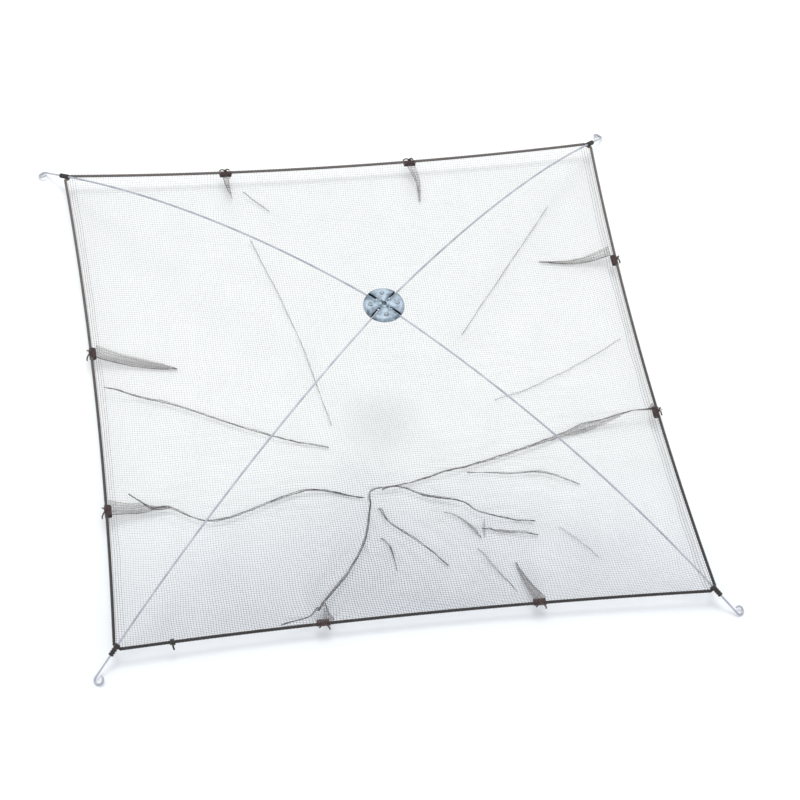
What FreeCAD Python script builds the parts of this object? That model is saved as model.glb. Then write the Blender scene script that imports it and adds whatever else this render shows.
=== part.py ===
import FreeCAD, Part
import math
import os

# Square folding crab trap: a hub with four bowed spring-wire arms holds a square lift net
# open by its corners. Millimetres, +Z up, origin on the floor under the hub, arms on the
# diagonals, net sides parallel to X and Y, front side at -Y.

# ---- whole trap -------------------------------------------------------------------
SIDE = 914.0            # net side, border cord to border cord
BORDER_Z = 27.0         # height of the border cord above the floor
HUB_Z = 204.0           # height of the arm pivots
# ---- arms -------------------------------------------------------------------------
WIRE_D = 3.0
PIVOT_R = 14.0          # pivot distance from the hub axis
HUB_EXIT_R = 34.0       # where the straight root ends and the bow begins
ROOT_DROP_DEG = 4.2     # droop of the straight root
TAB_R, TAB_T = 3.3, 2.4  # flattened root: disc radius and thickness
NECK_H = 2.4            # height of the flattened wire between the tab and the round wire
WIRE_START = 4.2        # round wire begins this far from the pivot
EYE_R = 6.5             # tip eye, to the wire's centreline
EYE_SWEEP_DEG = 280.0
# ---- hub --------------------------------------------------------------------------
HUB_R = 32.0
TOP_T, BOTTOM_T = 1.2, 1.5
TOP_UNDERSIDE = 3.3     # heights relative to the pivots
FLOOR_TOP = -3.65
SLOT_W = 4.0
SLOT_INNER_R = 11.3
RIVET_RING_R = 21.0
RIVET_R, RIVET_COLLAR_R = 2.0, 3.2
RIVET_HEAD_R, RIVET_HEAD_T = 3.8, 1.5
PIN_D = 3.0
PIN_PLAY = 0.05         # radial play of an arm on its pin
EAR_GAP, EAR_T, EAR_R = 3.0, 1.5, 3.0
ROPE_HOLE_R, EYELET_R, EYELET_FLANGE_R, EYELET_T = 4.0, 5.2, 8.0, 0.8
# ---- net and cords ----------------------------------------------------------------
CORD_D = 5.0
CORD_STOP = 10.0        # border cords end this far short of each corner
CORD_PULL = 14.0        # how far the net pulls the middle of each side in from a straight line
NET_T = 1.0
NET_FLOOR_HALF = 380.0  # half side of the part of the net that lies on the floor
HEM_WALL = 0.65         # edge meshes threaded on the border cord
CORNER_CUT_R = 628.0    # the net ends here on the diagonals
LASH_TURNS, TIE_TURNS, TURN_W = 5, 5, 4.0
KNOT_X, TAIL_D = -372.0, 2.6   # border knot on the front side, and its cut end

V = FreeCAD.Vector
Z = V(0, 0, 1)
HALF = SIDE / 2.0
CORNER_R = HALF * math.sqrt(2.0)
ARM_ANGLE = {"back_right": 45, "back_left": 135, "front_left": 225, "front_right": 315}
# side name: turn about Z from the front side, and where its two gathers are along the side
SIDES = {"front": (0, (-147, 183)), "right": (90, (-117, 198)),
         "back": (180, (-133, 186)), "left": (270, (-85, 215))}

os.makedirs("parts", exist_ok=True)


def save(name, solids):
    shape = solids[0] if len(solids) == 1 else Part.makeCompound(solids)
    shape.exportStep("parts/%s.step" % name)


def turned(shape, degrees):
    copy = shape.copy()
    copy.rotate(V(0, 0, 0), Z, degrees)
    return copy


def cylinder(radius, start, end):
    return Part.makeCylinder(radius, (end - start).Length, start, end - start)


def ring(inner, outer, z0, z1):
    tube = Part.makeCylinder(outer, z1 - z0, V(0, 0, z0))
    return tube.cut(Part.makeCylinder(inner, z1 - z0, V(0, 0, z0)))


def face(edges):
    return Part.Face(Part.Wire(edges))


def arc3(a, b, c):
    return Part.Arc(a, b, c).toShape()


def line(a, b):
    return Part.makeLine(a, b)


def pressed_cup(z_flat, thickness, z_lip):
    """Round plate with a centre hole and a quarter-round rim turned towards z_lip."""
    sign = 1.0 if z_flat > z_lip else -1.0
    outer_bend = abs(z_flat + sign * thickness - z_lip)
    inner_bend = outer_bend - thickness
    bend_r = HUB_R - outer_bend
    hole = EYELET_R + 0.1
    z_out = HUB_Z + z_flat + sign * thickness
    z_in = HUB_Z + z_flat
    lip = HUB_Z + z_lip
    mid = math.sqrt(0.5)

    def point(r, z):
        return V(r, 0, z)

    profile = face([
        line(point(hole, z_in), point(hole, z_out)),
        line(point(hole, z_out), point(bend_r, z_out)),
        arc3(point(bend_r, z_out),
             point(bend_r + outer_bend * mid, lip + sign * outer_bend * mid),
             point(HUB_R, lip)),
        line(point(HUB_R, lip), point(HUB_R - thickness, lip)),
        arc3(point(HUB_R - thickness, lip),
             point(bend_r + inner_bend * mid, lip + sign * inner_bend * mid),
             point(bend_r, z_in)),
        line(point(bend_r, z_in), point(hole, z_in)),
    ])
    return profile.revolve(V(0, 0, 0), Z, 360)


# ---- hub --------------------------------------------------------------------------
def rivet_holes(shape):
    for k in range(4):
        centre = turned(Part.Vertex(V(RIVET_RING_R, 0, 0)), 90 * k).Point
        hole = Part.makeCylinder(RIVET_R + 0.05, 20, V(centre.x, centre.y, HUB_Z - 10))
        shape = shape.cut(hole)
    return shape


def hub_top_disc():
    disc = pressed_cup(TOP_UNDERSIDE, TOP_T, -0.3)
    slot = Part.makeBox(40, SLOT_W, 12, V(SLOT_INNER_R + SLOT_W / 2, -SLOT_W / 2, HUB_Z - 4))
    slot = slot.fuse(Part.makeCylinder(SLOT_W / 2, 12,
                                       V(SLOT_INNER_R + SLOT_W / 2, 0, HUB_Z - 4)))
    for angle in ARM_ANGLE.values():
        disc = disc.cut(turned(slot, angle))
    return rivet_holes(disc)


def pivot_ear(y0):
    """One ear of a pivot, standing on the lower disc, for an arm along +X."""
    foot = HUB_Z + FLOOR_TOP - 0.8
    left, right = PIVOT_R - EAR_R, PIVOT_R + EAR_R
    outline = face([
        line(V(left, y0, foot), V(right, y0, foot)),
        line(V(right, y0, foot), V(right, y0, HUB_Z)),
        arc3(V(right, y0, HUB_Z), V(PIVOT_R, y0, HUB_Z + EAR_R), V(left, y0, HUB_Z)),
        line(V(left, y0, HUB_Z), V(left, y0, foot)),
    ])
    ear = outline.extrude(V(0, EAR_T, 0))
    hole = Part.makeCylinder(PIN_D / 2, EAR_T + 2, V(PIVOT_R, y0 - 1, HUB_Z), V(0, 1, 0))
    return ear.cut(hole)


def hub_bottom_disc():
    disc = pressed_cup(FLOOR_TOP, BOTTOM_T, -0.6)
    notch = Part.makeBox(20, SLOT_W, 10, V(27, -SLOT_W / 2, HUB_Z + FLOOR_TOP))
    for angle in ARM_ANGLE.values():
        disc = disc.cut(turned(notch, angle))
        for y0 in (EAR_GAP / 2, -EAR_GAP / 2 - EAR_T):
            disc = disc.fuse(turned(pivot_ear(y0), angle))
    return rivet_holes(disc)


def centre_eyelet():
    low = HUB_Z + FLOOR_TOP - BOTTOM_T
    high = HUB_Z + TOP_UNDERSIDE + TOP_T
    tube = ring(ROPE_HOLE_R, EYELET_R, low - EYELET_T, high + EYELET_T)
    tube = tube.fuse(ring(ROPE_HOLE_R, EYELET_FLANGE_R, high, high + EYELET_T))
    return tube.fuse(ring(ROPE_HOLE_R, EYELET_FLANGE_R, low - EYELET_T, low)).removeSplitter()


def rivet_head(z, outward):
    head = Part.makeCylinder(RIVET_HEAD_R, RIVET_HEAD_T, V(RIVET_RING_R, 0, z), V(0, 0, outward))
    rim = [e for e in head.Edges if abs(e.BoundBox.ZMin - z - outward * RIVET_HEAD_T) < 0.01
           and e.BoundBox.ZLength < 0.01]
    return head.makeFillet(RIVET_HEAD_T * 0.8, rim)


def hub_rivet():
    """Shouldered rivet that ties the two discs together and keeps them apart."""
    low = HUB_Z + FLOOR_TOP
    high = HUB_Z + TOP_UNDERSIDE
    bottom, top = low - BOTTOM_T, high + TOP_T
    centre = V(RIVET_RING_R, 0, 0)
    shank = cylinder(RIVET_R, centre + V(0, 0, bottom), centre + V(0, 0, top))
    collar = cylinder(RIVET_COLLAR_R, centre + V(0, 0, low), centre + V(0, 0, high))
    return shank.fuse([collar, rivet_head(top, 1), rivet_head(bottom, -1)])


def pivot_pin():
    """Pin through one pair of ears, with peened ends outside them."""
    outside = EAR_GAP / 2 + EAR_T
    pin = cylinder(PIN_D / 2, V(PIVOT_R, -outside, HUB_Z), V(PIVOT_R, outside, HUB_Z))
    for side in (-1, 1):
        pin = pin.fuse(cylinder(PIN_D / 2 + 0.5, V(PIVOT_R, side * outside, HUB_Z),
                                V(PIVOT_R, side * (outside + 0.8), HUB_Z)))
    return pin


# ---- arm, modelled along +X -------------------------------------------------------
ROOT_DROP = math.radians(ROOT_DROP_DEG)
bow_start = V(HUB_EXIT_R, 0, HUB_Z - (HUB_EXIT_R - PIVOT_R) * math.tan(ROOT_DROP))
bow_end = V(CORNER_R, 0, BORDER_Z)
chord = bow_end - bow_start
chord_drop = math.atan2(-chord.z, chord.x)
TIP_DROP = 2 * chord_drop - ROOT_DROP
BOW_R = chord.Length / (2 * math.sin(chord_drop - ROOT_DROP))


def slope(angle):
    return V(math.cos(angle), 0, -math.sin(angle))


def arm():
    radius = WIRE_D / 2
    pivot = V(PIVOT_R, 0, HUB_Z)
    root_dir, tip_dir = slope(ROOT_DROP), slope(TIP_DROP)
    wire_start = pivot + root_dir * WIRE_START
    root = cylinder(radius, wire_start, bow_start)
    bow_centre = bow_start - V(math.sin(ROOT_DROP), 0, math.cos(ROOT_DROP)) * BOW_R
    section = Part.Face(Part.Wire(Part.makeCircle(radius, bow_start, root_dir)))
    bow = section.revolve(bow_centre, V(0, 1, 0), math.degrees(TIP_DROP - ROOT_DROP))
    # the tail runs on straight until the eye just touches the floor
    eye_low = EYE_R * math.sin(TIP_DROP) + radius
    tail_end = bow_end + tip_dir * ((BORDER_Z - eye_low) / math.sin(TIP_DROP))
    tail = cylinder(radius, bow_end, tail_end)
    section = Part.Face(Part.Wire(Part.makeCircle(radius, tail_end, tip_dir)))
    eye_centre = tail_end + V(0, EYE_R, 0)
    eye = section.revolve(eye_centre, tip_dir.cross(V(0, 1, 0)), EYE_SWEEP_DEG)
    tab = Part.makeCylinder(TAB_R, TAB_T, pivot - V(0, TAB_T / 2, 0), V(0, 1, 0))
    neck = Part.makeBox(2 * WIRE_START, TAB_T, NECK_H, pivot - V(0, TAB_T / 2, NECK_H / 2))
    neck.rotate(pivot, V(0, 1, 0), ROOT_DROP_DEG)
    solid = tab.fuse([neck, root, bow, tail, eye]).removeSplitter()
    return solid.cut(Part.makeCylinder(PIN_D / 2 + PIN_PLAY, 10, pivot - V(0, 5, 0), V(0, 1, 0)))


# ---- cord wrappings ---------------------------------------------------------------
def whipping(turns, inner):
    """Turns of cord side by side round the Z axis, centred on the origin."""
    start = -turns * TURN_W / 2
    core = inner + 0.5
    edges = [line(V(core, 0, start), V(inner, 0, start)),
             line(V(inner, 0, start), V(inner, 0, -start)),
             line(V(inner, 0, -start), V(core, 0, -start))]
    for k in range(turns):
        high = -start - k * TURN_W
        edges.append(arc3(V(core, 0, high), V(core + TURN_W / 2, 0, high - TURN_W / 2),
                          V(core, 0, high - TURN_W)))
    return face(edges).revolve(V(0, 0, 0), Z, 360)


def placed(shape, centre, direction):
    copy = shape.copy()
    copy.Placement = FreeCAD.Placement(centre, FreeCAD.Rotation(Z, direction))
    return copy


def corner_lashing():
    return placed(whipping(LASH_TURNS, WIRE_D / 2 + 0.1), bow_end, slope(TIP_DROP))


# ---- net --------------------------------------------------------------------------
# Each border cord is an arc in the plane of the net's sloping side, bowed in and down.
FLARE = math.atan2(BORDER_Z, HALF - NET_FLOOR_HALF)
CORD_ARC_R = (HALF ** 2 + CORD_PULL ** 2) / (2 * CORD_PULL)
inward_down = V(0, math.cos(FLARE), -math.sin(FLARE))
flare_normal = V(0, math.sin(FLARE), math.cos(FLARE))
arc_centre = V(0, -HALF, BORDER_Z) - inward_down * (CORD_ARC_R - CORD_PULL)


def cord_point(x):
    """Point on the front border cord, and its direction there."""
    angle = math.asin(x / CORD_ARC_R)
    along = V(math.cos(angle), 0, 0) - inward_down * math.sin(angle)
    return (arc_centre + V(CORD_ARC_R * math.sin(angle), 0, 0)
            + inward_down * (CORD_ARC_R * math.cos(angle)), along)


def front_cord(radius, half_length):
    start, along = cord_point(-half_length)
    section = Part.Face(Part.Wire(Part.makeCircle(radius, start, along)))
    sweep = 2 * math.degrees(math.asin(half_length / CORD_ARC_R))
    return section.revolve(arc_centre, flare_normal * -1, sweep)


def tray(lift):
    """Frustum that the net's underside fits: flat on the floor, flaring up to the border."""
    rise = BORDER_Z + 10
    low, high = NET_FLOOR_HALF, NET_FLOOR_HALF + rise / math.tan(FLARE)

    def square(half, z):
        corners = [V(-half, -half, z), V(half, -half, z), V(half, half, z), V(-half, half, z)]
        return Part.makePolygon(corners + corners[:1])

    return Part.makeLoft([square(low, lift), square(high, rise + lift)], True, True)


def net():
    sheet = tray(-NET_T / 2).cut(tray(NET_T / 2))
    sheet.translate(V(0, 0, NET_T / 2))
    outside = Part.makeCylinder(CORD_ARC_R - CORD_D, 200, arc_centre - flare_normal * 100,
                                flare_normal)
    outside_box = Part.makeBox(SIDE + 200, 300, 100, V(-HALF - 100, -HALF - 301, -20))
    hem = front_cord(CORD_D / 2 + HEM_WALL + 0.05, HALF - 5)
    bore = front_cord(CORD_D / 2 + 0.05, HALF - 1)
    for angle, _ in SIDES.values():
        sheet = sheet.cut(turned(outside, angle)).cut(turned(outside_box, angle))
    for angle, _ in SIDES.values():
        sheet = sheet.fuse(turned(hem, angle))
    for angle, _ in SIDES.values():
        sheet = sheet.cut(turned(bore, angle))
    for angle in ARM_ANGLE.values():
        beyond = Part.makeBox(200, 400, 100, V(CORNER_CUT_R, -200, -10))
        sheet = sheet.cut(turned(beyond, angle))
    return sheet


# ---- write the pieces -------------------------------------------------------------
save("hub_top_disc", [hub_top_disc()])
save("hub_bottom_disc", [hub_bottom_disc()])
save("centre_eyelet", [centre_eyelet()])
save("hub_rivets", [turned(hub_rivet(), 90 * k) for k in range(4)])
save("pivot_pins", [turned(pivot_pin(), angle) for angle in ARM_ANGLE.values()])

one_arm, one_lashing = arm(), corner_lashing()
for corner, angle in ARM_ANGLE.items():
    save("arm_" + corner, [turned(one_arm, angle)])
    save("corner_lashing_" + corner, [turned(one_lashing, angle)])

net_solid = net()
save("net", [net_solid])
cord = front_cord(CORD_D / 2, HALF - CORD_STOP)
tie = whipping(TIE_TURNS, CORD_D / 2 + HEM_WALL + 0.1)
for side, (angle, gathers) in SIDES.items():
    save("border_cord_" + side, [turned(cord, angle)])
    ties = [turned(placed(tie, *cord_point(x)), angle) for x in gathers]
    save("gather_ties_" + side, [t.cut(net_solid) for t in ties])

# cut end of the border cord, hanging from its knot near the front left corner
knot_place, knot_along = cord_point(KNOT_X)
knot = placed(whipping(1, CORD_D / 2 + HEM_WALL + 0.1), knot_place, knot_along)
tail_top = knot_place + V(0, -4.2, -1.5)
tail = cylinder(TAIL_D / 2, tail_top, tail_top + V(2, -5, -9))
save("border_knot", [knot.fuse(tail).cut(net_solid)])
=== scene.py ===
import math

import bpy
import numpy as np
from mathutils import Matrix, Vector


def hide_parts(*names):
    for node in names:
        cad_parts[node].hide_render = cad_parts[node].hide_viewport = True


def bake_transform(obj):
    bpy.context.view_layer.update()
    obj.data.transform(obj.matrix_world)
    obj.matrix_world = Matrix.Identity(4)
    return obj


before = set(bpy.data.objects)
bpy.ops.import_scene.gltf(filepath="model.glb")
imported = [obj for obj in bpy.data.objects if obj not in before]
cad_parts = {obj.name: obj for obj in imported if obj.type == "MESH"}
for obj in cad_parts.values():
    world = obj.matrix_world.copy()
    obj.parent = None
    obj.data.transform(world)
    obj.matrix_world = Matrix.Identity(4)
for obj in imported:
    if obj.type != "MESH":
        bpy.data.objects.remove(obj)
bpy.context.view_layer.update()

# ---- sizes in metres, as in the CAD part ------------------------------------------
HALF = 0.457             # half side of the net, to the border cord
BORDER_Z = 0.027         # height of the net's corners
FLOOR_HALF = 0.380       # half side of the part of the net that lies on the floor
CORD_PULL = 0.014        # how far each border cord bows in
CORD_R = 0.0025
FLARE = math.atan2(BORDER_Z, HALF - FLOOR_HALF)
CORNER_R = HALF * math.sqrt(2)
CELLS = 228              # meshes along each side, 4 mm each
SIM_CELLS = CELLS // 2   # the cloth simulation's own grid
TWINE_R = 0.00019
HEM_LIFT = 0.0006        # the doubled edge of the net lies on the net
CORD_END = HALF - 0.008  # the border cord turns the corner from here
SETTLE_FRAMES = 22       # length of the cloth simulation
BAG_X = 0.04             # the bag's middle is this far left of the hub
BAG_SPREAD = 0.4         # how fast the bag thins sideways
CM = 0.01
TWINE_FRONT_PAINTED_SHADE = (0.080, 0.090, 0.135)
TWINE_BACK = (0.45, 0.455, 0.43)

CORNERS = {"back_right": 45, "back_left": 135, "front_left": 225, "front_right": 315}
SIDES = {"front": 0, "right": 90, "back": 180, "left": 270}
# the two sides that meet at each corner, anticlockwise seen from above
MEETING = {"back_right": ("right", "back"), "back_left": ("back", "left"),
           "front_left": ("left", "front"), "front_right": ("front", "right")}
# places of the gathers along each side, seen from the hub with the side in front
GATHERS = {"front": (-0.147, 0.183), "right": (-0.117, 0.198),
           "back": (-0.133, 0.186), "left": (-0.085, 0.215)}


def turned(point, degrees):
    return Matrix.Rotation(math.radians(degrees), 3, "Z") @ Vector(point)


def border_point(side, s):
    sag = CORD_PULL * (1 - (s / HALF) ** 2)
    return turned((s, -HALF + sag * math.cos(FLARE), BORDER_Z - sag * math.sin(FLARE)), SIDES[side])


# ---- materials --------------------------------------------------------------------
class Shader:
    """A Principled material with short helpers for its node tree."""

    def __init__(self, name, **values):
        self.material = bpy.data.materials.new(name)
        self.material.use_nodes = True
        self.tree = self.material.node_tree
        self.bsdf = self.tree.nodes["Principled BSDF"]
        for key, value in values.items():
            self.bsdf.inputs[key.replace("_", " ")].default_value = value
        self.coords = self.tree.nodes.new("ShaderNodeTexCoord").outputs["Object"]

    def node(self, kind, **inputs):
        made = self.tree.nodes.new(kind)
        for key, value in inputs.items():
            self.put(made.inputs[key.replace("_", " ")], value)
        return made

    def put(self, socket, value):
        if isinstance(value, bpy.types.NodeSocket):
            self.tree.links.new(value, socket)
        else:
            socket.default_value = value

    def noise(self, scale, detail=3.0):
        made = self.node("ShaderNodeTexNoise", Vector=self.coords, Scale=scale, Detail=detail)
        return made.outputs[0]

    def ramp(self, factor, stops):
        made = self.node("ShaderNodeValToRGB", Fac=factor)
        elements = made.color_ramp.elements
        while len(elements) < len(stops):
            elements.new(0.5)
        for element, (place, colour) in zip(elements, stops):
            element.position = place
            element.color = (*colour, 1)
        return made.outputs[0]

    def math(self, operation, first, second=0.0):
        made = self.node("ShaderNodeMath", Value=first)
        made.operation = operation
        self.put(made.inputs[1], second)
        return made.outputs[0]

    def span(self, factor, low, high):
        made = self.node("ShaderNodeMapRange", Value=factor, To_Min=low, To_Max=high)
        return made.outputs[0]

    def bump(self, height, strength, distance):
        made = self.node("ShaderNodeBump", Height=height, Strength=strength, Distance=distance)
        self.put(self.bsdf.inputs["Normal"], made.outputs[0])

    def colour(self, value):
        self.put(self.bsdf.inputs["Base Color"], value)

    def roughness(self, value):
        self.put(self.bsdf.inputs["Roughness"], value)


def zinc(name, light, dark, scale, painted_light_lobes=0.0):
    """Zinc plate with faint crystals and smudges and, if asked, painted shade along the four arms
    with painted highlights between them.
    """
    s = Shader(name, Metallic=0.85)
    cells = s.node("ShaderNodeTexVoronoi", Vector=s.coords, Scale=scale).outputs["Color"]
    grey = s.node("ShaderNodeRGBToBW", Color=cells).outputs[0]
    mixed = s.math("ADD", s.math("MULTIPLY", grey, 0.5), s.noise(90))
    if painted_light_lobes:
        # Painted light: four lobes of painted shade along the arms and painted highlight between
        # them.
        place = s.node("ShaderNodeSeparateXYZ", Vector=s.coords)
        turn = s.math("ARCTAN2", place.outputs["Y"], place.outputs["X"])
        wave = s.math("COSINE", s.math("MULTIPLY", turn, 4.0))
        mixed = s.math("ADD", mixed, s.math("MULTIPLY", wave, painted_light_lobes))
    s.colour(s.ramp(mixed, [(0.35, dark), (1.0, light)]))
    s.roughness(s.span(s.noise(140, 5), 0.5, 0.7))
    s.bump(s.noise(900, 2), 0.15, 0.0003)
    return s.material


def wire_metal():
    s = Shader("arm_wire_zinc", Metallic=0.75)
    s.colour(s.ramp(s.noise(35), [(0.3, (0.36, 0.365, 0.42)), (0.7, (0.56, 0.565, 0.61))]))
    s.roughness(s.span(s.noise(60), 0.3, 0.5))
    s.bump(s.noise(700, 2), 0.1, 0.0002)
    return s.material


def cord_fibre(name, dark, light, scale=500, paler_to_back=0.0):
    """Fibres of mixed shades, paler towards the back by the given amount."""
    s = Shader(name, Roughness=0.8, Sheen_Weight=0.2, Sheen_Roughness=0.5)
    back = s.node("ShaderNodeSeparateXYZ", Vector=s.coords).outputs["Y"]
    mixed = s.math("ADD", s.noise(scale, 4), s.math("MULTIPLY", back, paler_to_back))
    s.colour(s.ramp(mixed, [(0.3, dark), (0.75, light)]))
    s.bump(s.noise(scale * 2, 2), 0.5, 0.0004)
    return s.material


def twine_material():
    """Twine, pale at the back; painted shade darkens it towards the middle of the front, where the
    bag gathers.
    """
    s = Shader("net_twine", Roughness=0.75)
    place = s.node("ShaderNodeSeparateXYZ", Vector=s.coords)
    aside = s.math("ABSOLUTE", s.math("ADD", place.outputs["X"], BAG_X))
    back = s.math("ADD", place.outputs["Y"], s.math("MULTIPLY", aside, BAG_SPREAD))
    mixed = s.math("ADD", back, s.span(s.noise(6, 2), 0.35, 0.65))
    # The darker front colour is painted shade over the front of the net.
    s.colour(s.ramp(mixed, [(0.1, TWINE_FRONT_PAINTED_SHADE), (0.4, TWINE_BACK)]))
    return s.material


zinc_sheet = zinc("zinc_sheet", (0.43, 0.51, 0.58), (0.12, 0.16, 0.20), 260, painted_light_lobes=0.25)
zinc_rivet = zinc("zinc_rivet", (0.40, 0.45, 0.51), (0.10, 0.13, 0.16), 500)
wire = wire_metal()
twine = twine_material()
# Painted shade: the folds' laps, the hem and the creases get darker twine colours than the open net.
lap_twine_painted_shade = cord_fibre("net_twine_lapped_painted_shade", (0.09, 0.068, 0.065), (0.26, 0.21, 0.205), 120)
crease_twine_painted_shade = cord_fibre("net_twine_creased_painted_shade", (0.020, 0.014, 0.018), (0.07, 0.055, 0.065), 120)
border_fibre = cord_fibre("border_cord_tarred", (0.022, 0.018, 0.018), (0.16, 0.14, 0.13),
                          paler_to_back=0.5)
lashing_fibre = cord_fibre("lashing_tarred", (0.010, 0.008, 0.008), (0.045, 0.034, 0.032))
tie_fibre = cord_fibre("tie_twine", (0.028, 0.014, 0.014), (0.090, 0.048, 0.046))


def finish_nodes(names, material):
    for name in names:
        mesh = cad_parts[name].data
        mesh.materials.clear()
        mesh.materials.append(material)


finish_nodes(["hub_top_disc", "hub_bottom_disc", "centre_eyelet"], zinc_sheet)
finish_nodes(["hub_rivets", "pivot_pins"], zinc_rivet)
finish_nodes(["arm_" + corner for corner in CORNERS], wire)
finish_nodes(["corner_lashing_" + corner for corner in CORNERS], lashing_fibre)


# ---- mesh helpers -----------------------------------------------------------------
def new_object(name, points, faces, material):
    mesh = bpy.data.meshes.new(name)
    mesh.from_pydata([tuple(p) for p in points], [], [tuple(f) for f in faces])
    mesh.polygons.foreach_set("use_smooth", [True] * len(mesh.polygons))
    mesh.materials.append(material)
    mesh.update()
    made = bpy.data.objects.new(name, mesh)
    bpy.context.collection.objects.link(made)
    return made


def tubes(lines, radius, sides):
    """Closed tubes along lines, an array of shape (lines, points, 3). Returns points and faces."""
    lines = np.asarray(lines, float)
    count, steps, _ = lines.shape
    along = np.gradient(lines, axis=1)
    along /= np.linalg.norm(along, axis=2, keepdims=True)
    across = np.cross(along, (0.0, 0.0, 1.0))
    short = np.linalg.norm(across, axis=2, keepdims=True) < 1e-4
    across = np.where(short, (1.0, 0.0, 0.0), across)
    across /= np.linalg.norm(across, axis=2, keepdims=True)
    above = np.cross(across, along)
    turns = 2 * math.pi * np.arange(sides) / sides + math.pi / 2
    ring = (across[:, :, None] * np.cos(turns)[:, None] + above[:, :, None] * np.sin(turns)[:, None])
    width = np.broadcast_to(np.asarray(radius, float), (count, steps))[:, :, None, None]
    points = (lines[:, :, None] + ring * width).reshape(-1, 3)
    a = np.arange(sides)
    b = (a + 1) % sides
    starts = (np.arange(count)[:, None] * steps + np.arange(steps - 1)).reshape(-1, 1) * sides
    quads = np.stack([starts + a, starts + sides + a, starts + sides + b, starts + b], -1)
    faces = quads.reshape(-1, 4).tolist()
    for line in range(count):
        first = line * steps * sides
        last = first + (steps - 1) * sides
        faces.append([first + k for k in range(sides)])
        faces.append([last + k for k in reversed(range(sides))])
    return points, faces


def resampled(route, step):
    gone = np.concatenate([[0], np.cumsum(np.linalg.norm(np.diff(route, axis=0), axis=1))])
    places = np.linspace(0, gone[-1], int(gone[-1] / step))
    return np.stack([np.interp(places, gone, route[:, k]) for k in range(3)], -1), places


def joined(parts):
    """Several (points, faces) as one."""
    points, faces, base = [], [], 0
    for some, more in parts:
        points.append(np.asarray(some))
        faces += [[base + k for k in face] for face in more]
        base += len(some)
    return np.concatenate(points), faces


# ---- the net's shape --------------------------------------------------------------
# Folds of the slack net. Most start at a tie or meet at about (-4, -22). Each has its corner, how
# many threads bunch in the crease, how high the net stands there, and its line as
# (x, y, width of the lap to the left of the line). All lengths are in centimetres.
CM = 0.01
FOLDS = [
    ("front_left", 8, 1.0, [(-41, -18, 0), (-38, -21, .3), (-35, -21, .2), (-28, -24, .2),
                            (-14, -20, .3), (-5, -22, .1)]),
    ("front_left", 8, 0, [(-44, -22, 2.5), (-40, -21.5, 1.5), (-35, -21, .2)]),
    ("back_left", 7, 0, [(-44, 8, 2.5), (-35, 6, 1.5), (-31, 5.5, .1)]),
    ("back_right", 7, 0, [(44, 21, -2), (38, 21, -1), (32, 22, -.1)]),
    ("front_right", 6, 0, [(44, -10, 2), (43, -11, .2)]),
    ("front_right", 8, 1.2, [(44, -11, .2), (40, -11, .2), (36, -11.5, .8), (32, -12, 1.3),
                             (28, -13.5, .5), (18, -16.5, .3), (-2, -21, .1)]),
    ("front_left", 7, 0, [(-13, -44, 1.5), (-14, -41, .3)]),
    ("front_left", 9, 1.4, [(-15, -42, .3), (-12, -38.5, .4), (-9, -35, .3), (-6, -30, .3),
                            (-4, -23, .1)]),
    ("front_left", 7, .6, [(-15, -41, .3), (-17, -43, .2), (-21, -44, .1)]),
    ("front_right", 7, 0, [(19.5, -43.5, 2), (18, -40, 1), (16.5, -36, .1)]),
    ("back_left", 6, 0, [(-19, 44.5, 1.5), (-19, 43, .8), (-18, 40, .1)]),
    ("back_left", 3, .3, [(-16, 41, .1), (-12, 37, .1)]),
    ("back_right", 6, 0, [(12.5, 44.5, 1.5), (14, 41, .7), (14, 37, .1)]),
    ("front_right", 7, 1.0, [(-4, -23, .2), (-3.5, -21, .3), (1, -21, .2), (5, -23, .4),
                             (10, -24.5, .3), (12, -26.5, .3), (15.5, -28, .3), (21, -29, .1)]),
    ("front_right", 6, .8, [(-3, -24, .3), (-2, -27, .3), (1, -30, .3), (6, -35.5, .1)]),
    ("front_right", 4, .5, [(7, -26, .1), (9, -27, .3), (11, -29.5, .4), (12, -31, .1)]),
    ("front_right", 3, .3, [(13, -28, .1), (12.5, -29.5, .3), (12.5, -31, .1)]),
    ("front_right", 5, .6, [(12.5, -29.5, .1), (16, -30.5, .4), (21, -31.5, .1)]),
    ("front_right", 3, .7, [(11, -33, .1), (13, -37, .3), (15.5, -41.5, .1)]),
    ("front_right", 2, .5, [(24.5, -30.5, .1), (27.5, -34, .1), (29.5, -36.5, .1)]),
    ("front_left", 4, .6, [(-3.5, -29.5, .1), (-2.5, -31.5, .4), (-2, -35.5, .1)]),
    ("front_left", 6, .7, [(-43, 2, .1), (-34, -1, .3), (-26, -5, .2), (-17, -9.5, .2),
                           (-9, -12, .1)]),
    ("back_left", 2, .4, [(-16, 31, .1), (-11, 11, .1), (-8, -8, .1)]),
    ("back_right", 2, .4, [(36, 34, .1), (26, 21, .1), (16, 8, .1)]),
    ("front_right", 4, .7, [(12, -19, .1), (19, -20, .3), (24, -20.5, .4), (29.5, -23, .1)]),
    ("front_right", 2, .3, [(42, 4, .1), (27, -3, .1), (19, -5.5, .1)]),
]
PLEATS = [(corner, strands, height * CM, np.array(line) * CM)
          for corner, strands, height, line in FOLDS]


def smooth_line(points, steps=12):
    """Catmull-Rom curve through a fold's points."""
    p = np.asarray(points, float)
    p = np.concatenate([[2 * p[0] - p[1]], p, [2 * p[-1] - p[-2]]])
    t = np.linspace(0, 1, steps, endpoint=False)[:, None]
    runs = []
    for a, b, c, d in zip(p, p[1:], p[2:], p[3:]):
        runs.append(0.5 * (2 * b + (c - a) * t + (2 * a - 5 * b + 4 * c - d) * t ** 2
                           + (3 * b - a - 3 * c + d) * t ** 3))
    return np.concatenate(runs + [p[-2:-1]])


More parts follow.
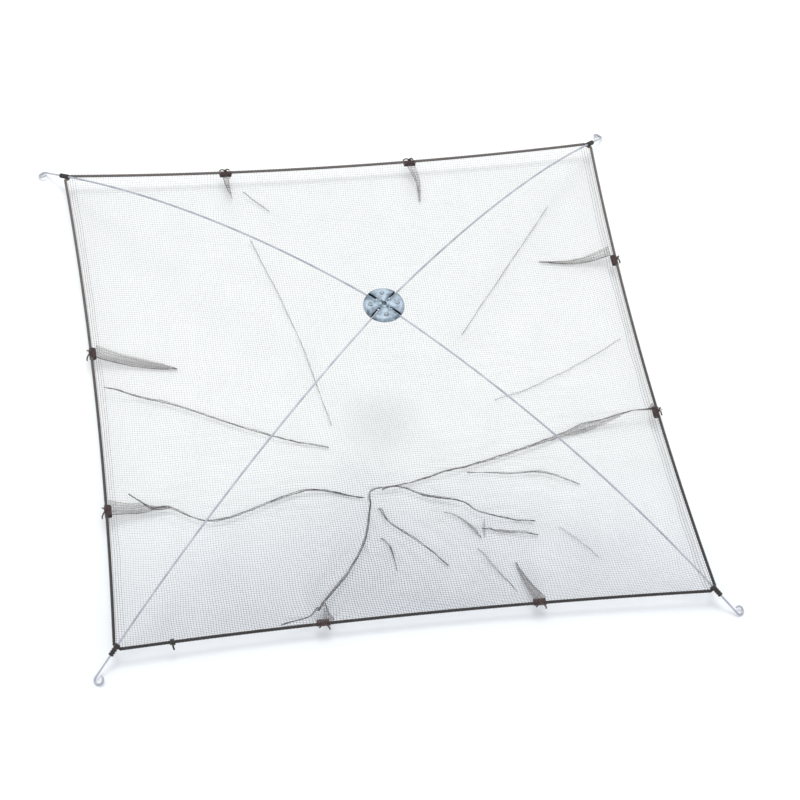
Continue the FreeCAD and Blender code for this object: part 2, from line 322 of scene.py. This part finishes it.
def nearest(line, plan):
    """For plan points: distance to a line, and the share of its length that lies before there."""
    starts, runs = line[:-1], np.diff(line, axis=0)
    long = np.linalg.norm(runs, axis=1)
    rel = plan[:, None] - starts[None]
    t = np.clip((rel * runs).sum(-1) / long ** 2, 0, 1)
    dist = np.linalg.norm(rel - t[..., None] * runs, axis=-1)
    best = dist.argmin(1)
    row = np.arange(len(plan))
    share = (np.cumsum(long) - long)[best] + t[row, best] * long[best]
    return dist[row, best], share / long.sum()


def ripple(plan, size, seed):
    """Smooth seeded waves of about the given size, from -1 to 1."""
    rng = np.random.RandomState(seed)
    total = np.zeros(len(plan))
    for _ in range(10):
        turn, phase = rng.uniform(0, 2 * math.pi, 2)
        length = size * rng.uniform(0.7, 1.5)
        total += np.sin((plan[:, 0] * math.cos(turn) + plan[:, 1] * math.sin(turn))
                        * 2 * math.pi / length + phase)
    return total / 10 * 1.6


def net_start():
    """Grid of the net before it settles: stretched between the cords, folds standing up."""
    u = np.linspace(-1, 1, SIM_CELLS + 1)
    gu, gv = (g.ravel() for g in np.meshgrid(u, u, indexing="ij"))
    bow = CORD_PULL * math.cos(FLARE) / HALF
    x = HALF * gu * (1 - bow * (1 - gv ** 2) * gu ** 2)
    y = HALF * gv * (1 - bow * (1 - gu ** 2) * gv ** 2)
    plan = np.stack([x, y], -1)
    inset_x = HALF * (1 - bow * (1 - gv ** 2)) - np.abs(x)
    inset_y = HALF * (1 - bow * (1 - gu ** 2)) - np.abs(y)
    drop = CORD_PULL * math.sin(FLARE)
    reach = 0.085   # the net slopes down from the border over this width
    rise_x = (BORDER_Z - drop * (1 - gv ** 2)) * np.clip(1 - inset_x / reach, 0, 1) ** 1.7
    rise_y = (BORDER_Z - drop * (1 - gu ** 2)) * np.clip(1 - inset_y / reach, 0, 1) ** 1.7
    z = np.maximum(np.maximum(rise_x, rise_y), TWINE_R)
    inset = np.minimum(inset_x, inset_y)
    free = np.clip(inset / 0.03, 0, 1)
    z = z + free * 0.0025 * (1 + ripple(plan, 0.13, 3))
    shift = np.stack([ripple(plan, 0.09, 5), ripple(plan, 0.09, 6)], -1) * 0.0022 * free[:, None]
    for _, _, height, line in PLEATS:
        if height > 0:
            dist, share = nearest(smooth_line(line)[:, :2], plan)
            taper = np.clip(np.minimum(share / 0.06, (1 - share) / 0.22), 0, 1)
            z += height * np.exp(-(dist / 0.011) ** 2) * taper * np.clip(inset / 0.012, 0, 1)
    # meshes crowd together under each tie
    for side, places in GATHERS.items():
        for s in places:
            tie = np.array(border_point(side, s)[:2])
            along = np.array(turned((1, 0, 0), SIDES[side])[:2])
            inward = np.array(turned((0, 1, 0), SIDES[side])[:2])
            a, d = (plan - tie) @ along, (plan - tie) @ inward
            pull = 0.7 * np.exp(-(a / 0.026) ** 2 - np.clip(d, 0, 1) / 0.05)
            shift -= along * (a * pull)[:, None]
            z += 0.004 * np.exp(-(a / 0.012) ** 2 - np.clip(d, 0, 1) / 0.04) * np.clip(d / 0.01, 0, 1)
    return np.stack([x + shift[:, 0], y + shift[:, 1], z], -1), inset < 1e-6


def settled(points, held):
    """The net after a short cloth simulation on the floor."""
    side = SIM_CELLS + 1
    index = np.arange(side * side).reshape(side, side)
    quads = np.stack([index[:-1, :-1], index[1:, :-1], index[1:, 1:], index[:-1, 1:]], -1)
    cloth = new_object("net_cloth", points, quads.reshape(-1, 4).tolist(), twine)
    pins = cloth.vertex_groups.new(name="held")
    pins.add([int(k) for k in np.nonzero(held)[0]], 1.0, "REPLACE")
    ground = new_object("net_ground", [(-1, -1, 0), (1, -1, 0), (1, 1, 0), (-1, 1, 0)],
                        [(0, 1, 2, 3)], twine)
    ground.modifiers.new("Collision", "COLLISION")
    ground.collision.thickness_outer = 0.001
    ground.collision.cloth_friction = 20
    modifier = cloth.modifiers.new("Cloth", "CLOTH")
    s = modifier.settings
    s.quality = 6
    s.mass = 0.02
    s.tension_stiffness = 12
    s.compression_stiffness = 6
    s.shear_stiffness = 1.5
    s.bending_stiffness = 0.02
    s.air_damping = 2
    s.vertex_group_mass = "held"
    modifier.collision_settings.distance_min = 0.001
    modifier.collision_settings.use_self_collision = False
    modifier.point_cache.frame_start = 1
    modifier.point_cache.frame_end = SETTLE_FRAMES
    scene = bpy.context.scene
    for step in range(1, SETTLE_FRAMES + 1):
        scene.frame_set(step)
    seen = cloth.evaluated_get(bpy.context.evaluated_depsgraph_get())
    flat = np.empty(len(points) * 3)
    seen.data.vertices.foreach_get("co", flat)
    scene.frame_set(1)
    for done in (cloth, ground):
        mesh = done.data
        bpy.data.objects.remove(done)
        bpy.data.meshes.remove(mesh)
    return flat.reshape(-1, 3)


net_points, net_held = net_start()
net_points = settled(net_points, net_held)
net_points[:, 2] = np.maximum(net_points[:, 2], TWINE_R)


def finer(grid):
    """The grid with a point added between each two along its first axis, on a smooth curve."""
    ends = np.concatenate([2 * grid[:1] - grid[1:2], grid, 2 * grid[-1:] - grid[-2:-1]])
    between = (9 * (ends[1:-2] + ends[2:-1]) - ends[:-3] - ends[3:]) / 16
    made = np.empty((2 * len(grid) - 1,) + grid.shape[1:])
    made[0::2], made[1::2] = grid, between
    return made


net_grid = finer(net_points.reshape(SIM_CELLS + 1, SIM_CELLS + 1, 3))
net_grid = finer(net_grid.transpose(1, 0, 2)).transpose(1, 0, 2)
net_grid[..., 2] = np.maximum(net_grid[..., 2], TWINE_R)


def net_height(plan, window=6):
    """Height of the net's mesh nearest to each plan point, looking some meshes to each side."""
    found = np.empty(len(plan))
    for k, p in enumerate(plan):
        i = int(round((p[0] / HALF + 1) / 2 * CELLS))
        j = int(round((p[1] / HALF + 1) / 2 * CELLS))
        i0, j0 = max(i - window, 0), max(j - window, 0)
        part = net_grid[i0:i + window + 1, j0:j + window + 1].reshape(-1, 3)
        found[k] = part[((part[:, :2] - p) ** 2).sum(1).argmin(), 2]
    return found


def pleat(strands, line, seed):
    """A fold of net lying on the net: threads bunched along the crease and, where the fold
    laps over widely, the lap's own meshes."""
    rng = np.random.RandomState(seed)
    fine, _ = resampled(smooth_line(line), 0.004)
    plan, width = fine[:, :2], fine[:, 2]
    along = np.gradient(plan, axis=0)
    along /= np.linalg.norm(along, axis=1, keepdims=True)
    left = np.stack([-along[:, 1], along[:, 0]], -1)
    steps = np.arange(len(plan))
    shares = np.where(np.arange(strands) % 3 == 0, 0.0, np.linspace(0, 1, strands))
    lines = []
    for share in shares:
        wave = np.sin(steps * rng.uniform(0.15, 0.4) + rng.uniform(0, 6.3)) * 0.0005
        off = share * width + wave + rng.uniform(-0.0005, 0.0005)
        where = plan + left * off[:, None]
        lift = 0.0006 + 0.0012 * rng.rand() + np.abs(wave)
        lines.append(np.column_stack([where, net_height(where) + lift]))
    lines = np.array(lines)
    wide = np.abs(width).max() > 0.01
    tight = shares == 0 if wide else shares >= 0
    crease = tubes(lines[tight], TWINE_R * 1.25, 3)
    lap = [tubes(lines[~tight], TWINE_R * 1.25, 3)] if wide else []
    crossing = [k for k in steps if abs(width[k]) > 0.0035]
    if crossing:
        rungs = []
        for k in crossing:
            for lean in (0.0, 0.33, 0.67):
                ends = [plan[k] + along[k] * 0.004 * lean, plan[k] + left[k] * width[k]
                        + along[k] * 0.004 * (lean + 0.2)]
                where = np.linspace(ends[0], ends[1], 4)
                rungs.append(np.column_stack([where, net_height(where) + 0.0009 + 0.0004 * lean]))
        lap.append(tubes(rungs, TWINE_R * 1.3, 3))
    return crease, joined(lap) if lap else None


# ---- pieces of the net, one per corner --------------------------------------------
def quarter(corner):
    """Signs of X and Y in a corner's quarter of the net."""
    way = turned((1, 0, 0), CORNERS[corner])
    return (1 if way.x > 0 else -1), (1 if way.y > 0 else -1)


def blended(piece):
    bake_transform(piece)


def half_range(sign):
    middle = CELLS // 2
    return slice(middle, CELLS + 1) if sign > 0 else slice(0, middle + 1)


def own_range(sign):
    """Threads that a quarter owns: the middle one belongs to the positive side."""
    middle = CELLS // 2
    return slice(middle, CELLS + 1) if sign > 0 else slice(0, middle)


def twine_radius(lines):
    """The net is heavier towards the middle of the front, where the bag gathers."""
    back = lines[..., 1] + BAG_SPREAD * np.abs(lines[..., 0] + BAG_X)
    forward = np.clip((-0.06 - back) / 0.34, 0, 1)
    return TWINE_R * (1 + 0.4 * forward ** 2 * (3 - 2 * forward))


for corner in CORNERS:
    sx, sy = quarter(corner)
    along_y = net_grid[own_range(sx), half_range(sy)]
    along_x = net_grid[half_range(sx), own_range(sy)].transpose(1, 0, 2)
    parts = [tubes(along_y, twine_radius(along_y), 3), tubes(along_x, twine_radius(along_x), 3)]
    hem = along_y[1:5] if sx < 0 else along_y[-5:-1]
    parts.append(tubes(hem + [0, 0, HEM_LIFT], TWINE_R * 1.5, 3))
    folds = [pleat(strands, line, seed) for seed, (where, strands, _, line)
             in enumerate(PLEATS) if where == corner]
    parts += [crease for crease, _ in folds] + [lap for _, lap in folds if lap]
    # Hem and lap threads take index 1 and crease threads index 2. These are the darker twines that
    # paint shade into the folds.
    which = [0, 0, 1] + [2] * len(folds) + [1] * (len(parts) - 3 - len(folds))
    net_piece = new_object("net_" + corner, *joined(parts), twine)
    net_piece.data.materials.append(lap_twine_painted_shade)
    net_piece.data.materials.append(crease_twine_painted_shade)
    counts = [len(faces) for _, faces in parts]
    net_piece.data.polygons.foreach_set("material_index", np.repeat(which, counts).astype(np.int32))
    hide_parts("net")
    blended(net_piece)


# ---- border cord ------------------------------------------------------------------
def cord_route(corner):
    """Middle of one side, round the corner, to the middle of the next side."""
    first, second = MEETING[corner]
    out = [border_point(first, s) for s in np.linspace(0, CORD_END, 60)]
    turn = turned((CORNER_R - 0.009, 0, BORDER_Z), CORNERS[corner])
    back = [border_point(second, s) for s in np.linspace(-CORD_END, 0, 60)]
    return np.array([list(p) for p in out + [turn] + back])


def laid_rope(route, radius, strands=3, pitch=0.016, step=0.0022, sides=6):
    """Twisted strands round a route."""
    line, places = resampled(np.asarray(route), step)
    along = np.gradient(line, axis=0)
    along /= np.linalg.norm(along, axis=1, keepdims=True)
    across = np.cross(along, (0, 0, 1.0))
    across /= np.linalg.norm(across, axis=1, keepdims=True)
    above = np.cross(across, along)
    offset = radius * 0.5
    lines = []
    for k in range(strands):
        turn = places / pitch * 2 * math.pi + 2 * math.pi * k / strands
        lines.append(line + offset * (across * np.cos(turn)[:, None] + above * np.sin(turn)[:, None]))
    return tubes(lines, radius * 0.56, sides)


for corner in CORNERS:
    border = new_object("border_cord_" + corner, *laid_rope(cord_route(corner), CORD_R), border_fibre)
    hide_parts("border_cord_" + MEETING[corner][1])
    blended(border)


# ---- gather ties ------------------------------------------------------------------
def coil(centre, axis, radius, turns, pitch, steps=18, wide=1.0):
    """A cord wound round an axis."""
    axis = Vector(axis).normalized()
    across = axis.cross((0, 0, 1)).normalized()
    above = across.cross(axis)
    count = int(turns * steps)
    line = []
    for k in range(count + 1):
        turn = 2 * math.pi * k / steps
        line.append(centre + axis * ((k / count - 0.5) * turns * pitch)
                    + (across * math.cos(turn) * wide + above * math.sin(turn)) * radius)
    return np.array([list(p) for p in line])


def tail_line(start, *moves):
    line = [Vector(start)]
    for move in moves:
        line.append(line[-1] + Vector(move))
    return smooth_line([list(p) for p in line], 5)


def gather_tie(side, s):
    """Twine wound round the border cord and the bunched meshes, with a knot and two ends."""
    centre = border_point(side, s)
    axis = turned((1, 0, 0), SIDES[side])
    inward = turned((0, 1, 0), SIDES[side])
    below = centre + inward * 0.0025 - Vector((0, 0, 0.0014))
    wound = coil(below, axis, 0.0036, 8, 0.0024, wide=1.3)
    up = Vector((0, 0, 1))
    knot_at = centre - inward * 0.001 + up * 0.003
    knot = coil(knot_at, axis + inward * 0.6, 0.0018, 1.2, 0.002)
    end_a = tail_line(knot_at, axis * 0.004 - inward * 0.003,
                      axis * 0.004 - up * 0.004 - inward * 0.003, axis * 0.001 - up * 0.005)
    end_b = tail_line(knot_at, -axis * 0.003 + up * 0.001 - inward * 0.003,
                      -axis * 0.004 - up * 0.005 - inward * 0.002)
    parts = [tubes([line], 0.00115, 6) for line in (wound, knot, end_a, end_b)]
    return joined(parts)


for side, places in GATHERS.items():
    for number, s in enumerate(places):
        tie = new_object("gather_tie_%s_%d" % (side, number + 1), *gather_tie(side, s), tie_fibre)
        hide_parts("gather_ties_" + side)
        blended(tie)

knot_place = border_point("front", -0.372)
knot_parts = [tubes([coil(knot_place, (1, 0, 0), 0.0037, 2, 0.003)], 0.0014, 8),
              laid_rope(tail_line(knot_place + Vector((0, -0.003, -0.002)), (0.001, -0.003, -0.003),
                                  (0.001, -0.002, -0.004)), 0.0015)]
border_knot = new_object("border_knot_cord", *joined(knot_parts), border_fibre)
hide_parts("border_knot")
blended(border_knot)


# ---- floor, light and camera ------------------------------------------------------
def stage_floor():
    """Pale floor, slightly darker and bluer in front of the trap: painted shade there."""
    s = Shader("stage_floor", Roughness=0.9)
    depth = s.node("ShaderNodeSeparateXYZ", Vector=s.coords).outputs["Y"]
    # The front colour is bluish painted shade that deepens the shadows in front of the trap.
    front, back = (0.85, 0.87, 0.895), (0.94, 0.95, 0.95)
    s.colour(s.ramp(s.math("ADD", depth, 0.5), [(0.1, front), (0.5, back)]))
    floor = new_object("floor", [(-8, -8, 0), (8, -8, 0), (8, 8, 0), (-8, 8, 0)], [(0, 1, 2, 3)],
                       s.material)
    floor.location.z = -0.0004


def lights():
    world = bpy.data.worlds.new("studio")
    bpy.context.scene.world = world
    world.use_nodes = True
    world.node_tree.nodes["Background"].inputs["Color"].default_value = (0.94, 0.96, 0.985, 1)
    world.node_tree.nodes["Background"].inputs["Strength"].default_value = 1.0
    sun = bpy.data.lights.new("sun", "SUN")
    sun.energy = 1.0
    sun.angle = math.radians(26)
    sun.color = (1.0, 0.985, 0.96)
    lamp = bpy.data.objects.new("sun", sun)
    bpy.context.collection.objects.link(lamp)
    lamp.rotation_euler = Vector((0.0, 0.37, 0.93)).to_track_quat("Z", "Y").to_euler()


def camera():
    """Seen from the front left, high up, the camera turned a little about its own axis."""
    azimuth, elevation, roll = (math.radians(a) for a in (-16.80, 53.92, 9.07))
    back = Vector((math.sin(azimuth) * math.cos(elevation), -math.cos(azimuth) * math.cos(elevation),
                   math.sin(elevation)))
    level = (-back).cross((0, 0, 1)).normalized()
    upright = level.cross(-back)
    right = level * math.cos(roll) + upright * math.sin(roll)
    up = upright * math.cos(roll) - level * math.sin(roll)
    data = bpy.data.cameras.new("camera")
    data.lens = 101.0
    data.sensor_width = 36
    shot = bpy.data.objects.new("camera", data)
    bpy.context.collection.objects.link(shot)
    place = Vector((0.0326, -0.0565, BORDER_Z)) + back * 3.572
    axes = Matrix((right, up, back)).transposed()
    shot.matrix_world = Matrix.Translation(place) @ axes.to_4x4()
    bpy.context.scene.camera = shot


stage_floor()
lights()
camera()
bpy.context.scene.view_settings.view_transform = "Standard"
